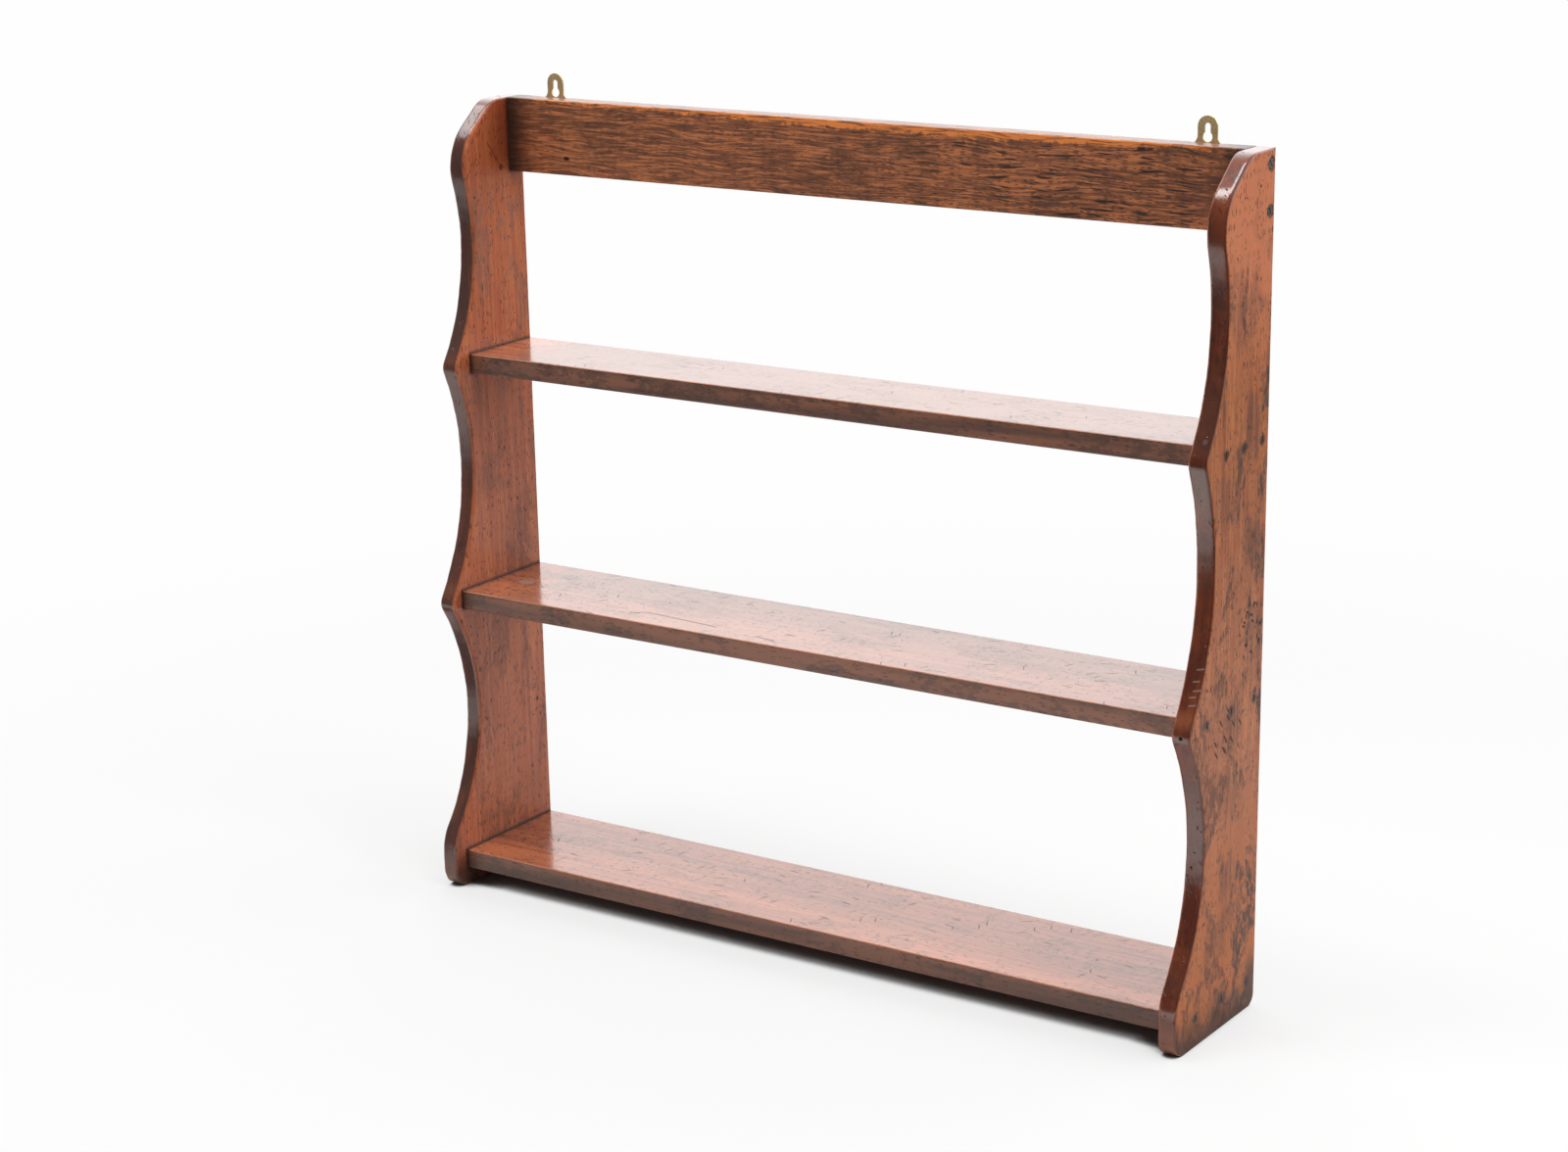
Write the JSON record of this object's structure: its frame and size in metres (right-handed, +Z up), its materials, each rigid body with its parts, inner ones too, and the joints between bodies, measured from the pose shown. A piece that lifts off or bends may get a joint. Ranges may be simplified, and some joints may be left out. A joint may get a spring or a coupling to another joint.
{
  "type": "wall shelf",
  "caption": "Hanging wall shelf with scalloped sides, open housed shelves, a rail across the top and keyhole hanging plates of brass.",
  "frame": {"origin": "middle of the box's lowest face: midway between the two sides, halfway through the depth, on the plane that the sides stand on", "axes": "+X towards the right-hand side as seen from the open front, +Y towards the wall, +Z up"},
  "size_m": [0.914, 0.171, 0.8855],
  "materials": {
    "side_mahogany": "waxed and polished old mahogany, upright grain",
    "shelf_mahogany": "waxed and polished old mahogany, long grain",
    "rail_wood": "open-grained dark stained hardwood, waxed",
    "brass": "tarnished",
    "brass_screws": "tarnished",
    "steel_screws": "blackened",
    "iron_nails": "dark, oxidised"
  },
  "bodies": {
    "root": {"left_side": "side_mahogany", "right_side": "side_mahogany", "top_shelf": "shelf_mahogany", "middle_shelf": "shelf_mahogany", "bottom_shelf": "shelf_mahogany", "top_rail": "rail_wood", "left_hanging_plate": "brass", "right_hanging_plate": "brass", "left_plate_screws": "brass_screws", "right_plate_screws": "brass_screws", "left_rail_screws": "steel_screws", "right_rail_screws": "steel_screws", "top_shelf_left_nails": "iron_nails", "top_shelf_right_nails": "iron_nails", "middle_shelf_left_nails": "iron_nails", "middle_shelf_right_nails": "iron_nails", "bottom_shelf_left_nails": "iron_nails", "bottom_shelf_right_nails": "iron_nails"}
  },
  "joints": []
}
